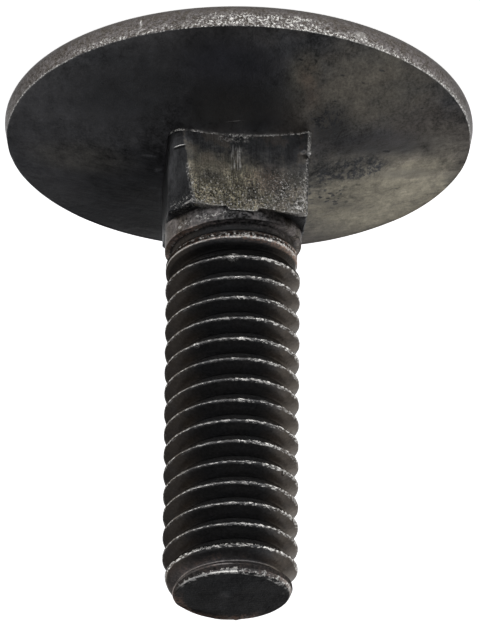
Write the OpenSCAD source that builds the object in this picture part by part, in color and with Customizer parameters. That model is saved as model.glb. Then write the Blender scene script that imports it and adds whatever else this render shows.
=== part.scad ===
/* Flat countersunk head elevator bolt, coarse 60 degree thread. Millimetres.
   The bolt stands on its flat head: the top face of the head lies in z = 0
   and the shank axis is the Z axis. The square neck is in line with X and Y,
   and its front faces -Y. */

/* [Thread] */
// outside diameter of the thread
thread_d = 9.28; // [8.9:0.01:9.32]
// axial distance from one turn to the next
thread_pitch = 1.5875; // [1.25:0.0125:1.75]
// height of the groove above the collar where it starts
start_gap = 0.35; // [0.3:0.01:0.6]
// direction in which the groove starts
start_dir = 123; // [0:1:359]
// share of the full depth that the groove has soon after its start
start_depth = 0.22; // [0:0.01:0.5]
// turns over which the groove reaches its full depth
runout_turns = 1.8; // [0.5:0.1:3]
// how far the first crest falls short of the thread diameter, on the radius
crest_short = 0.2; // [0:0.02:0.3]

/* [Head] */
// diameter over the rounded edge of the head
head_d = 32.5; // [26:0.1:38]
// thickness of the edge of the head
edge_t = 1.85; // [1.5:0.05:3]
// radius between the flat face and the edge
edge_round = 1; // [0.3:0.05:1.2]
// how far the edge bellies out past the rim of the underside
edge_belly = 0.17; // [0.05:0.01:0.3]
// slope of the conical underside
seat_angle = 11.9; // [6:0.1:18]
// distance of the head centre from the shank axis, as forged
head_offset = 0.32; // [0:0.02:0.45]

/* [Square neck] */
// width over the flats at the shoulder
neck_w = 9.56; // [9.4:0.02:11]
// distance of the neck centre from the shank axis, as forged
neck_offset = 0.08; // [0:0.01:0.15]
// draft of the four flats
neck_draft = 1.3; // [0:0.1:3]
// radius of the fullest corner
corner_wide = 1.5; // [0.4:0.05:2]
// radius of the crispest corner
corner_tight = 0.55; // [0.2:0.05:1.2]
// height of the longest corner above the rim of the underside
corner_long = 8.3; // [7:0.05:8.6]
// height of its neighbour across the front
corner_front = 7.35; // [6.5:0.05:8.4]
// height of its neighbour towards the back
corner_back = 6.5; // [5.5:0.05:8]
// height of the shortest corner
corner_short = 6.5; // [5:0.05:8]

/* [Collar] */
// diameter of the plain collar between neck and thread
collar_d = 9.34; // [9.34:0.01:9.56]
// height of the lower end of the collar above the rim of the underside
collar_low = 7.81; // [7.6:0.01:8.4]
// height of the collar itself
collar_h = 0.54; // [0.5:0.02:2]
// depth of the throat between neck and collar
throat_depth = 0.14; // [0.05:0.01:0.3]
// width of the scraped tongue on the front of the collar
tongue_w = 2.2; // [1:0.1:3]
// height of that tongue
tongue_h = 0.37; // [0.1:0.01:0.5]

/* [Tip] */
// distance from the rim of the underside to the end face, along the axis
reach = 35.58; // [24:0.1:60]
// diameter of the end face
tip_d = 8; // [7.6:0.05:8.6]
// length of the rounded lead at the tip
lead_h = 2.2; // [1.2:0.1:4]
// slant of the sheared end face
end_slant = 3.5; // [0:0.1:5]
// direction in which the end face is longest
end_slant_dir = -42; // [-180:1:180]

/* [Hidden] */

$fn = 96;
steel = [0.2, 0.2, 0.21];

head_r = head_d / 2;
seat_r = head_r - edge_belly;
neck_half = neck_w / 2;
collar_r = collar_d / 2;
collar_z = edge_t + collar_low;
collar_top = collar_z + collar_h;
end_z = edge_t + reach;
tip_r = tip_d / 2;
arc_steps = 6;

// thread section: 60 degree flanks, rounded root, depth as on a rolled screw thread
thread_r = thread_d / 2;
thread_h = 0.6134 * thread_pitch;
root_half = 0.1 * thread_pitch;
open_least = 0.02;
root_side = 0.93;
lead_power = 1.5;

// the thread surface is swept in facets; its first turn is hidden in the collar
facets = 44;
rows = 5;
hidden_arc = 45;
start_z = collar_top + start_gap;
low_z = collar_z + 0.1;
slant_rise = tip_r * tan(end_slant) + 0.2;
turns = ceil((end_z + slant_rise - start_z) / thread_pitch) + 3;

function share(v) = max(0, min(1, v));
function ease(v) = let (c = share(v)) c * c * (3 - 2 * c);

// angle a is measured along the groove from its start
function groove_z(a) = start_z + thread_pitch * a / 360;
function groove_depth(a) = thread_h
    * (start_depth * share(a / 60) + (1 - start_depth) * share(a / (360 * runout_turns)));
function groove_half(a) = root_half + max(open_least, groove_depth(a) * tan(30));

// the land runs on from the collar, falls short at first and then is full
function crest_r(a) =
    let (begun = share(a / 30), filled = ease((a - 60) / 180))
    (1 - begun) * (collar_r - open_least / 2) + begun * (thread_r - crest_short * (1 - filled));

// largest radius that the rounded lead allows at height z
function lead_r(z) =
    let (s = max(0, (z - end_z + lead_h) / lead_h))
    max(tip_r * 0.8, thread_r - (thread_r - tip_r) * pow(s, lead_power));

// one turn of the groove section: lower edge, root in three points, upper edge
function groove_point(i, t, j) =
    let (a = 360 * (i / facets + t - 1) - hidden_arc,
         open = groove_half(a),
         off = [-open, -root_half, 0, root_half, open][j],
         swept_z = groove_z(a) + off,
         next_z = groove_z(a + 360) - groove_half(a + 360),
         level_z = low_z + (next_z - low_z) * j / rows,
         w = t > 0 ? 1 : i / facets,
         z = w * swept_z + (1 - w) * level_z,
         deep = [0, root_side, 1, root_side, 0][j] * groove_depth(a),
         r = min(crest_r(j < 3 ? a - 360 : a) - deep, lead_r(z)),
         p = a + start_dir)
    [r * cos(p), r * sin(p), z];

module threaded_shank() {
    last = rows * turns - 1;
    col = last + 1;
    seam = (facets - 1) * col;
    low = facets * col;
    points = concat(
        [for (i = [0 : facets - 1]) for (k = [0 : last]) groove_point(i, floor(k / rows), k % rows)],
        [[0, 0, low_z - 0.5], [0, 0, groove_z(360 * turns)]]);
    faces = concat(
        [for (i = [0 : facets - 2]) for (k = [0 : last - 1])
            let (a = i * col + k) each [[a, a + 1, a + 1 + col], [a, a + 1 + col, a + col]]],
        [for (k = [0 : last - rows - 1])
            let (a = seam + k, b = k + rows) each [[a, a + 1, b + 1], [a, b + 1, b]]],
        [for (i = [0 : facets - 2]) [low, i * col, i * col + col]],
        [[low, seam, rows]],
        [for (k = [0 : rows - 1]) [low, k + 1, k]],
        [for (i = [0 : facets - 2]) [low + 1, i * col + last + col, i * col + last]],
        [for (k = [last - rows : last - 1]) [low + 1, seam + k, seam + k + 1]],
        [[low + 1, last, seam + last - rows]]);
    polyhedron(points = points, faces = faces, convexity = 12);
}

// all below a plane at height z on the axis, which rises by a towards direction d
module below(z, a, d, size) {
    translate([0, 0, z]) rotate([0, 0, d]) rotate([0, -a, 0])
        translate([-size, -size, -2 * size]) cube([2 * size, 2 * size, 2 * size]);
}

module head() {
    belly_z = (edge_round + edge_t) / 2;
    translate([-head_offset, 0, 0]) rotate_extrude()
        polygon(concat(
            [[0, 0]],
            [for (i = [0 : arc_steps]) let (b = 90 * i / arc_steps)
                [head_r - edge_round * (1 - sin(b)), edge_round * (1 - cos(b))]],
            [[head_r - edge_belly * 0.25, belly_z], [seat_r, edge_t]],
            [[0, edge_t + seat_r * tan(seat_angle)]]));
}

// section of the neck at the shoulder: four corners with their own radii
function corner(sx, sy, r, a0) =
    [for (i = [0 : arc_steps]) let (a = a0 + 90 * i / arc_steps)
        [sx * (neck_half - r) + r * cos(a), sy * (neck_half - r) + r * sin(a)]];
corner_mid = (corner_wide + corner_tight) / 2;
neck_section = concat(
    corner(1, 1, corner_mid, 0), corner(-1, 1, corner_mid, 90),
    corner(-1, -1, corner_tight, 180), corner(1, -1, corner_wide, 270));

// height of the shoulder over a point of the section, between its four corners
function shoulder_z(p) =
    let (u = (p[0] / neck_half + 1) / 2, v = (p[1] / neck_half + 1) / 2)
    edge_t + (1 - v) * ((1 - u) * corner_long + u * corner_front)
           + v * ((1 - u) * corner_back + u * corner_short);

function drafted(p, z) =
    let (s = 1 + (collar_z - z) * tan(neck_draft) / neck_half)
    [p[0] * s - neck_offset, p[1] * s, z];

module neck() {
    n = len(neck_section);
    base_z = edge_t / 2;
    points = concat(
        [for (p = neck_section) drafted(p, base_z)],
        [for (p = neck_section) drafted(p, shoulder_z(p))],
        [[0, 0, base_z], [0, 0, collar_z - throat_depth]]);
    polyhedron(points = points, faces = concat(
        [for (i = [0 : n - 1]) let (k = (i + 1) % n)
            each [[i, i + n, k + n], [i, k + n, k], [2 * n, i, k], [2 * n + 1, k + n, i + n]]]));
}

module collar() {
    translate([0, 0, edge_t])
        cylinder(r = collar_r - throat_depth, h = collar_low + collar_h / 2);
    translate([0, 0, collar_z]) cylinder(r = collar_r, h = collar_h);
    translate([-tongue_w / 2, -neck_half, collar_z - collar_h / 2])
        cube([tongue_w, neck_half, tongue_h + collar_h / 2]);
}

module bolt() {
    color(steel) union() {
        head();
        neck();
        collar();
        intersection() {
            threaded_shank();
            below(end_z, end_slant, end_slant_dir, 2 * end_z);
        }
    }
}

bolt();
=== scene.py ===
"""Flat countersunk head elevator bolt in black oxide steel, on a pale studio floor."""
import math
from types import SimpleNamespace

import bpy
import bmesh
from mathutils import Matrix, Vector, noise
from bpy.props import FloatProperty, FloatVectorProperty, IntProperty, PointerProperty


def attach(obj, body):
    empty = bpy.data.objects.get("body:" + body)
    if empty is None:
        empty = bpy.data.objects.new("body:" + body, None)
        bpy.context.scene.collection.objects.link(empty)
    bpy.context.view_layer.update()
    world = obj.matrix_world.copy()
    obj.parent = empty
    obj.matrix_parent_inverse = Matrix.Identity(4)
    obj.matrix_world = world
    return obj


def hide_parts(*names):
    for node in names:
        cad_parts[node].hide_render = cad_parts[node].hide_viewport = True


bl_info = {
    "name": "Elevator Bolt",
    "version": (1, 0, 0),
    "blender": (4, 5, 0),
    "location": "View3D > Sidebar > Bolt",
    "description": "Forges, threads and blackens an elevator bolt, and sets it on a studio floor",
    "category": "Add Mesh",
}

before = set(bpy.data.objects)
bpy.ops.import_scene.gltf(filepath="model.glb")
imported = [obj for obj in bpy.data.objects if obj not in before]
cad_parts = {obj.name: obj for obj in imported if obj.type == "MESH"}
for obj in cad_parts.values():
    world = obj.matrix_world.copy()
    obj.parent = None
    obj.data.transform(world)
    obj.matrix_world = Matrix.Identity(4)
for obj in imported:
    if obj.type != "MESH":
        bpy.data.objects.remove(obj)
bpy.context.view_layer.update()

# the bolt is modelled with one unit to the millimetre and scaled once, when it is welded
MM = 1000.0
NODE = "bolt"
UP = Vector((0, 0, 1))


# sizes ---------------------------------------------------------------------------------------


def length(name, description, default):
    """A length in metres, given here in millimetres."""
    return FloatProperty(name=name, description=description, default=default / MM,
                         unit="LENGTH", subtype="DISTANCE", precision=5)


def angle(name, description, default):
    """An angle in radians, given here in degrees."""
    return FloatProperty(name=name, description=description, default=math.radians(default),
                         subtype="ANGLE")


def colour(name, description, default):
    """A linear colour."""
    return FloatVectorProperty(name=name, description=description, default=default,
                               size=3, min=0.0, max=1.0, subtype="COLOR")


class BoltHeadSizes(bpy.types.PropertyGroup):
    """Sizes of the flat countersunk head."""
    diameter: length("Diameter", "Over the rounded edge", 32.5)
    edge: length("Edge", "Thickness of the edge", 1.85)
    rounding: length("Rounding", "Radius between flat face and edge", 1.0)
    belly: length("Belly", "How far the edge stands out past the rim of the underside", 0.17)
    offset: length("Offset", "Distance of the head centre from the shank axis", 0.32)
    slope: angle("Slope", "Slope of the conical underside", 11.9)


class BoltNeckSizes(bpy.types.PropertyGroup):
    """Sizes of the square neck. Heights are above the rim of the underside."""
    width: length("Width", "Over the flats at the shoulder", 9.54)
    offset: length("Offset", "Distance of the neck centre from the shank axis", 0.08)
    facet: length("Facet", "Width that the flattened corner takes from the front", 1.70)
    tight_corner: length("Tight corner", "Radius of the crispest corner", 0.45)
    back_corner: length("Back corners", "Radius of the two corners at the back", 0.85)
    full_corner: length("Full corner", "Extra radius of the fuller corner at the back", 1.1)
    long_height: length("Long corner", "Height of the longest corner", 8.35)
    facet_height: length("Facet height", "Height of the flattened corner", 7.95)
    back_height: length("Back height", "Height of the two corners at the back", 6.45)
    hollow_front: length("Hollow front", "Height of the hollow shoulder at the front", 7.80)
    hollow_back: length("Hollow back", "Height of the hollow shoulder at the back", 6.85)
    tongue: length("Tongue", "Length of the tongue that runs down onto the collar", 0.36)
    lip: length("Lip", "How far the lip stands out at the foot of the tight corner", 0.15)
    lip_height: length("Lip height", "Height of the lip", 3.62)
    draft: angle("Draft", "Draft of the four flats", 1.2)


class BoltThreadSizes(bpy.types.PropertyGroup):
    """Sizes of the collar, the rolled thread and the tip."""
    diameter: length("Diameter", "Outside diameter of the thread", 9.28)
    pitch: length("Pitch", "Axial distance between turns", 1.5875)
    collar: length("Collar", "Diameter of the plain collar", 9.42)
    collar_low: length("Collar start", "Where the collar leaves the neck, above the rim", 7.81)
    collar_end: length("Collar end", "Where the collar ends on the shank axis", 8.72)
    collar_lean: length("Collar lean", "How much longer the collar is on one side", 0.35)
    collar_turn: angle("Collar direction", "Where the collar is longest", -21)
    groove_start: length("Groove start", "Height of the groove where it starts", 8.70)
    start_turn: angle("Start direction", "Where the groove starts", 123)
    runout: FloatProperty(name="Run-out", description="Turns to the full depth", default=1.7)
    blank: length("Blank", "Diameter of the blank before it is rolled", 8.5)
    reach: length("Reach", "Rim of the underside to the end face, on the axis", 35.70)
    tip: length("Tip", "Diameter of the end face", 7.85)
    tip_offset: length("Tip offset", "How far the lead is ground off the axis", 0.08)
    lead: length("Lead", "Length of the rounded lead", 2.2)
    slant: angle("Slant", "Slant of the sheared end", 3.5)
    slant_turn: angle("Slant direction", "Where the end is longest", -42)
    steps: IntProperty(name="Steps", description="Facets in one turn", default=108, min=24)


class BoltFinish(bpy.types.PropertyGroup):
    """Colours of the black oxide skin and of what shows through it."""
    oxide: colour("Oxide", "Blue-black of the fresh skin", (0.112, 0.113, 0.118))
    smoke: colour("Smoke", "Soot-black in hollows and stains", (0.042, 0.043, 0.046))
    brown: colour("Brown", "Brown-black of oil and handling", (0.143, 0.122, 0.102))
    olive: colour("Olive", "Thin skin with a warm olive cast", (0.215, 0.196, 0.150))
    mauve: colour("Mauve", "Skin of the rolled edge", (0.165, 0.150, 0.146))
    blue: colour("Blue", "Heat blue of the forged face", (0.098, 0.106, 0.150))
    rust: colour("Rust", "Spots of rust", (0.180, 0.115, 0.085))
    gold: colour("Gold", "Yellowed steel that shows through the olive skin", (0.620, 0.560, 0.360))
    bare: colour("Bare", "Bare steel on crests and edges", (0.860, 0.840, 0.800))


class BoltStage(bpy.types.PropertyGroup):
    """The camera."""
    azimuth: angle("Azimuth", "Camera turn round the bolt", 3.2)
    elevation: angle("Elevation", "Camera height above the floor", 27.99)
    roll: angle("Roll", "The camera is held upside down", 180.55)
    distance: length("Distance", "From the lens to the bolt", 1101.0)
    lens: FloatProperty(name="Lens", description="Focal length in mm", default=918.2)
    aim: FloatVectorProperty(name="Aim", description="Point in the middle of the picture",
                             default=(-0.00047, -0.00096, 0.01610), subtype="TRANSLATION")


def in_mm(group):
    """The values of a group, with its lengths in millimetres."""
    return SimpleNamespace(**{
        key: getattr(group, key) * (MM if group.bl_rna.properties[key].unit == "LENGTH" else 1)
        for key in group.__annotations__})


# modelling tools -----------------------------------------------------------------------------


def clear():
    """Leaves edit mode and deselects everything."""
    if bpy.context.object and bpy.context.object.mode != "OBJECT":
        bpy.ops.object.mode_set(mode="OBJECT")
    bpy.ops.object.select_all(action="DESELECT")


def pick(kind, test):
    """In edit mode, selects the vertices, edges or faces that pass the test."""
    bpy.context.tool_settings.mesh_select_mode = (kind == "verts", kind == "edges", kind == "faces")
    bpy.ops.mesh.select_all(action="DESELECT")
    mesh = bpy.context.object.data
    edit = bmesh.from_edit_mesh(mesh)
    found = 0
    for element in getattr(edit, kind):
        if test(element):
            element.select_set(True)
            found += 1
    edit.select_flush_mode()
    bmesh.update_edit_mesh(mesh)
    if not found:
        raise RuntimeError(f"nothing to pick among the {kind} of {bpy.context.object.name}")


def move_vertices(piece, rule):
    """Places each vertex of a piece by a rule of its own place."""
    for vertex in piece.data.vertices:
        vertex.co = rule(vertex.co.copy())
    piece.data.update()


def take_up(piece):
    """Selects one piece alone and makes it active."""
    clear()
    piece.select_set(True)
    bpy.context.view_layer.objects.active = piece


def apply_modifier(piece, kind, **values):
    """Adds a modifier to a piece and applies it."""
    take_up(piece)
    modifier = piece.modifiers.new(kind.title(), kind)
    for key, value in values.items():
        setattr(modifier, key, value)
    bpy.ops.object.modifier_apply(modifier=modifier.name)


def settle(piece):
    """Puts the piece's place, turn and scale into its mesh."""
    take_up(piece)
    bpy.ops.object.transform_apply(location=True, rotation=True, scale=True)


def round_blank(name, sides, radius, depth, place):
    """Adds a round blank and leaves it in edit mode with its upper face picked."""
    clear()
    bpy.ops.mesh.primitive_cylinder_add(vertices=sides, radius=radius, depth=depth, location=place)
    blank = bpy.context.object
    blank.name = name
    settle(blank)
    bpy.ops.object.mode_set(mode="EDIT")
    pick("faces", lambda face: face.normal.z > 0.9)
    return blank


def draw_up(rows, step):
    """Extrudes the picked face upwards in rows."""
    for _ in range(rows):
        bpy.ops.mesh.extrude_region_move(TRANSFORM_OT_translate={"value": UP * step})


def step_in(inward, rise=0.0, way=UP):
    """Insets the picked face by a ring and lifts it."""
    bpy.ops.mesh.inset(thickness=inward, depth=0, use_even_offset=False)
    bpy.ops.transform.translate(value=way * rise)


def share(value):
    """Held between 0 and 1."""
    return max(0.0, min(1.0, value))


def ease(value):
    """Smooth rise from 0 to 1."""
    value = share(value)
    return value * value * (3 - 2 * value)


# unevenness of the forging: height in mm, waves to the millimetre and seed
DENTS = {
    "rim": (0.035, 0.22, 0), "rim_grain": (0.012, 1.3, 4),
    "flat": (0.03, 1.6, 5), "lower_flat": (0.018, 2.6, 9),
    "shoulder": (0.05, 2.2, 3), "shoulder_grain": (0.02, 7, 3),
    "collar": (0.020, 1.1, 6), "collar_grain": (0.012, 4, 2), "collar_end": (0.05, 0.9, 4),
    "crest": (0.014, 1.7, 2), "crest_grain": (0.012, 5.0, 8),
}


def dent(kind, x, y, z):
    """Unevenness of one kind at a place, in mm outwards or upwards."""
    height, scale, seed = DENTS[kind]
    return height * noise.noise(Vector((x, y, z)) * scale + Vector((seed, seed * 0.7, -seed)))


# head ----------------------------------------------------------------------------------------


class OBJECT_OT_forge_bolt_head(bpy.types.Operator):
    """Forge the flat countersunk head with its rounded edge and conical underside"""
    bl_idname = "object.forge_bolt_head"
    bl_label = "Forge Head"

    SIDES, RINGS, ROUNDING_STEPS = 256, 24, 9
    HUB = 2.0  # radius of the innermost ring, hidden in the neck

    def execute(self, context):
        size = in_mm(context.scene.bolt_head)
        radius, edge, belly, offset = size.diameter / 2, size.edge, size.belly, size.offset
        head = round_blank("bolt_head", self.SIDES, radius, edge, (-offset, 0, edge / 2))
        self.raise_cone(radius - belly, belly, math.tan(size.slope))
        self.round_edge(size.rounding)
        bpy.ops.object.mode_set(mode="OBJECT")
        self.belly_out(head, radius, edge, belly, offset)
        return {"FINISHED"}

    def raise_cone(self, rim, belly, slope):
        """Insets the upper face to the rim and on to the hub, and lifts each ring to the cone."""
        step_in(belly)
        step = (rim - self.HUB) / (self.RINGS - 1)
        for _ in range(self.RINGS - 1):
            step_in(step, step * slope)

    def round_edge(self, rounding):
        """Rounds the corner of the flat face."""
        pick("edges", lambda e: all(v.co.z < 1e-4 for v in e.verts))
        bpy.ops.mesh.bevel(offset=rounding, segments=self.ROUNDING_STEPS, profile=0.5)

    def belly_out(self, head, radius, edge, belly, offset):
        """Draws the rim of the underside in and leaves it slightly uneven, as struck."""
        def rule(co):
            out = Vector((co.x + offset, co.y))
            reach = out.length
            if reach > radius - belly - 0.01 and co.z > 0:
                high_up = share(co.z / edge)
                pull = belly * (high_up ** 3) * share((reach - radius + belly + 0.02) / belly)
                wave = dent("rim", out.x, out.y, co.z * 2) + dent("rim_grain", *co)
                out *= (reach - pull + wave * high_up) / reach
            return Vector((out.x - offset, out.y, co.z))
        move_vertices(head, rule)


# neck ----------------------------------------------------------------------------------------


class OBJECT_OT_press_bolt_neck(bpy.types.Operator):
    """Press the square neck, with drafted flats, four uneven corners and a hollow shoulder"""
    bl_idname = "object.press_bolt_neck"
    bl_label = "Press Neck"

    SIDES, ROWS, RINGS = 288, 60, 12
    FIRST_RING, RING = 0.07, 0.055  # widths: in mm, then as a share of the half width
    FACET_FROM, FACET_OVER = 0.36, 0.40  # shares of the height over which the facet comes in
    COLLAR = 4.5  # radius inside which the hollow shoulder is at its level
    SQUINT = 0.075  # how far one corner at the back is drawn in, as a share
    CORNER, CORNER_SOFT = (4.1, 3.9), (0.5, 0.7)  # where the tight corner begins, x and y
    UNDERCUT = 0.020  # notch above the lip, as a share of the radius
    BOW = 0.05  # how far the front flat stands out in its middle

    def execute(self, context):
        size, edge = in_mm(context.scene.bolt_neck), in_mm(context.scene.bolt_head).edge
        half, base = size.width / 2, edge / 2
        top = edge + in_mm(context.scene.bolt_thread).collar_low
        step = (top - base) / self.ROWS
        neck = round_blank("bolt_neck", self.SIDES, half, step, (0, 0, base + step / 2))
        draw_up(self.ROWS - 1, step)
        for ring in range(self.RINGS):
            step_in(half * self.RING if ring else self.FIRST_RING)
        bpy.ops.object.mode_set(mode="OBJECT")
        self.square(neck, size, half, base, top, edge)
        return {"FINISHED"}

    def square(self, neck, size, half, base, top, edge):
        """Squares the round blank and gives it its corners, draft and shoulder."""
        draft, lip_z = math.tan(size.draft), edge + size.lip_height

        def rule(co):
            inward = co.xy.length / half
            turn = math.atan2(co.y, co.x) / math.tau % 1.0
            high_up = (co.z - base) / (top - base)
            flattened = ease((high_up - self.FACET_FROM) / self.FACET_OVER)
            x, y = square_outline(turn, half, size, flattened)
            shoulder = shoulder_height(x, y, half, size, edge)
            z = base + high_up * (shoulder - base)
            if high_up > 0.9999:
                reach = Vector((x, y)).length
                sunk = share((1 - inward) * reach / max(0.2, reach - self.COLLAR))
                v = share((y / half + 1) / 2)
                hollow = edge + size.hollow_front * (1 - v) + size.hollow_back * v
                z = z * (1 - sunk) + hollow * sunk - (0.05 if inward > 0.999 else 0)
            grow = 1 + (shoulder - z) * draft / half
            if x < 0 < y:
                x *= 1 - self.SQUINT * y / half
            at_corner = math.prod(ease((-place - start) / soft) for place, start, soft
                                  in zip((x, y), self.CORNER, self.CORNER_SOFT))
            grow += size.lip / half * ease((lip_z - z) / 0.10 + 0.5) * at_corner
            grow -= self.UNDERCUT * share(1 - abs(z - lip_z - 0.14) / 0.15) * at_corner
            x, y = x * grow * inward, y * grow * inward
            out = dent("flat", x * 0.6, y * 0.6, z * 0.25)
            out += dent("lower_flat", x, y, z) * ease((z - 7) / 2)
            if y < -4:
                out += self.BOW * share((z - 4.2) / 2.5) * share(1 - abs(x) / 3.2)
            scale = 1 + out / half
            return Vector((x * scale - size.offset, y * scale, z))
        move_vertices(neck, rule)


def square_outline(turn, half, size, flattened):
    """Point of the square section; a third of the turn goes to the corners."""
    quarter, along = divmod((turn % 1.0) * 4, 1)
    back = size.back_corner
    cut = (back, back + size.full_corner, size.tight_corner, size.facet)[int(quarter)]
    if along < 1 / 3:
        x, y = half, along * 3 * (half - cut)
    elif along > 2 / 3:
        x, y = (3 - along * 3) * (half - cut), half
    else:
        bent = (along * 3 - 1) * math.pi / 2
        full = 0.72 if quarter == 3 else 1.0  # the facet's corner is fuller than a round one
        x = half - cut + cut * math.cos(bent) ** full
        y = half - cut + cut * math.sin(bent) ** full
        if quarter == 3:
            flat_x, flat_y = facet_outline(along * 3 - 1, half, cut)
            x, y = x + (flat_x - x) * flattened, y + (flat_y - y) * flattened
    for _ in range(int(quarter)):
        x, y = -y, x
    return x, y


def facet_outline(along, half, cut):
    """The flattened corner: a straight facet from a crisp crease, then a round."""
    corner, straight = Vector((half, half)), 0.6
    crease, turning, pull, flat = (corner - Vector(back) * cut for back in (
        (0, 1), (0.66, 0.29), (0.94, 0), (1, 0)))
    if along < straight:
        return crease.lerp(turning, along / straight)
    t = (along - straight) / (1 - straight)
    return turning.lerp(pull, t).lerp(pull.lerp(flat, t), t)


# the shoulder's edge at the front: a dip beside the crease, and a sag between the corners
DIP, DIP_X, DIP_Y, SAG, SAG_X, SAG_HALF = 0.42, 3.2, -4.8, 0.24, -0.2, 3.4
# the tongue's two ends along the edge
TONGUE = (-1.42, 0.85)


def shoulder_height(x, y, half, size, edge):
    """Height of the shoulder's edge: four corners, a dip at the crease and the tongue."""
    u, v = share((x / half + 1) / 2), share((y / half + 1) / 2)
    front = (1 - u) * size.long_height + u * size.facet_height
    height = (1 - v) * front + v * size.back_height
    if y < 0:
        dip = math.exp(-((x - DIP_X) ** 2 + (y - DIP_Y) ** 2) / 0.9)
        sag = ease(1 - abs(x - SAG_X) / SAG_HALF) * ease((-y - 4.0) / 0.7)
        tongue = ease((TONGUE[1] - x) / 0.25) * ease((x - TONGUE[0]) / 0.2)
        tongue *= ease((-y - 4.2) / 0.4)
        height += size.tongue * tongue - DIP * dip - SAG * sag
        height += dent("shoulder", x, y, 0) + dent("shoulder_grain", x, y, 0)
    return edge + height


# collar --------------------------------------------------------------------------------------


class OBJECT_OT_turn_bolt_collar(bpy.types.Operator):
    """Turn the plain collar between neck and thread, with its leaning, broken end"""
    bl_idname = "object.turn_bolt_collar"
    bl_label = "Turn Collar"

    SIDES, ROWS, ROW = 180, 16, 0.1
    INSIDE = 5.0  # height above the rim of the underside where it starts, inside the neck
    SHOULDER, LAP = (0.02, 0.05, 0.08, 0.07, 0.03), 0.25  # rises to the blank, and into it

    def execute(self, context):
        size, edge = in_mm(context.scene.bolt_thread), in_mm(context.scene.bolt_head).edge
        radius, base, end = size.collar / 2, edge + self.INSIDE, edge + size.collar_end
        drawn = self.ROWS * self.ROW
        collar = round_blank("bolt_collar", self.SIDES, radius, end - base - drawn,
                             (0, 0, (end + base - drawn) / 2))
        draw_up(self.ROWS, self.ROW)
        for rise in self.SHOULDER:
            step_in((radius - size.blank / 2 + self.LAP) / len(self.SHOULDER), rise)
        bpy.ops.object.mode_set(mode="OBJECT")
        self.lean(collar, size, radius, base, end)
        return {"FINISHED"}

    def lean(self, collar, size, radius, base, end):
        """Makes the collar longer on one side and leaves it uneven."""
        way = Vector((math.cos(size.collar_turn), math.sin(size.collar_turn)))

        def rule(co):
            longer, along = size.collar_lean * co.xy.dot(way) / radius, (co.z - base) / (end - base)
            z = co.z + longer * share(along)
            out = 1 + (dent("collar", co.x, co.y, z) + dent("collar_grain", *co)) / radius
            z += dent("collar_end", co.x, co.y, 0) * share(along)
            return Vector((co.x * out, co.y * out, z))
        move_vertices(collar, rule)


# shank ---------------------------------------------------------------------------------------


class Thread:
    """The thread's section along its sweep, in millimetres."""

    # as shares of the pitch: depth of a 60 degree thread, half root flat, flank, end of crest
    DEPTH, ROOT, FLANK, CREST = 0.6134, 0.10, 0.329, 0.478
    # turns before the groove deepens, and degrees over which the crest behind it comes up
    LAG, CREST_EARLY, CREST_OVER = 0.5, 35, 190
    ROUNDNESS = 1.5  # power of the rounded lead

    def __init__(self, scene):
        size, self.edge = in_mm(scene.bolt_thread), in_mm(scene.bolt_head).edge
        self.radius, self.blank, self.tip = size.diameter / 2, size.blank / 2, size.tip / 2
        self.pitch, self.depth = size.pitch, self.DEPTH * size.pitch
        self.start, self.end = self.edge + size.groove_start, self.edge + size.reach
        self.start_turn, self.runout = size.start_turn / math.tau, size.runout
        self.lead, self.tip_offset = size.lead, size.tip_offset
        self.slant = Matrix.Rotation(size.slant_turn, 3, "Z") @ Vector(
            (-math.sin(size.slant), 0, math.cos(size.slant)))

    def sweep(self, co):
        """Turns from the groove's start to the groove nearest to a place, and the distance to it."""
        turn = (math.atan2(co.y, co.x) / math.tau - self.start_turn) % 1.0
        nearest = round((co.z - self.start) / self.pitch - turn)
        return nearest + turn, co.z - self.start - self.pitch * (nearest + turn)

    def root(self, turns):
        """Radius at the bottom of the groove at a sweep."""
        bottom = self.radius - self.depth
        return self.blank - (self.blank - bottom) * share((turns - self.LAG) / self.runout)

    def land(self, turns):
        """Radius of the land behind a sweep: first the blank, then the full crest."""
        raised = ease((turns * 360 + self.CREST_EARLY) / self.CREST_OVER)
        return self.blank + (self.radius - self.blank) * raised

    def lead_in(self, z):
        """Largest radius that the rounded lead leaves at a height."""
        along = share((z - self.end + self.lead) / self.lead)
        return self.radius - (self.radius - self.tip) * along ** self.ROUNDNESS


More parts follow.
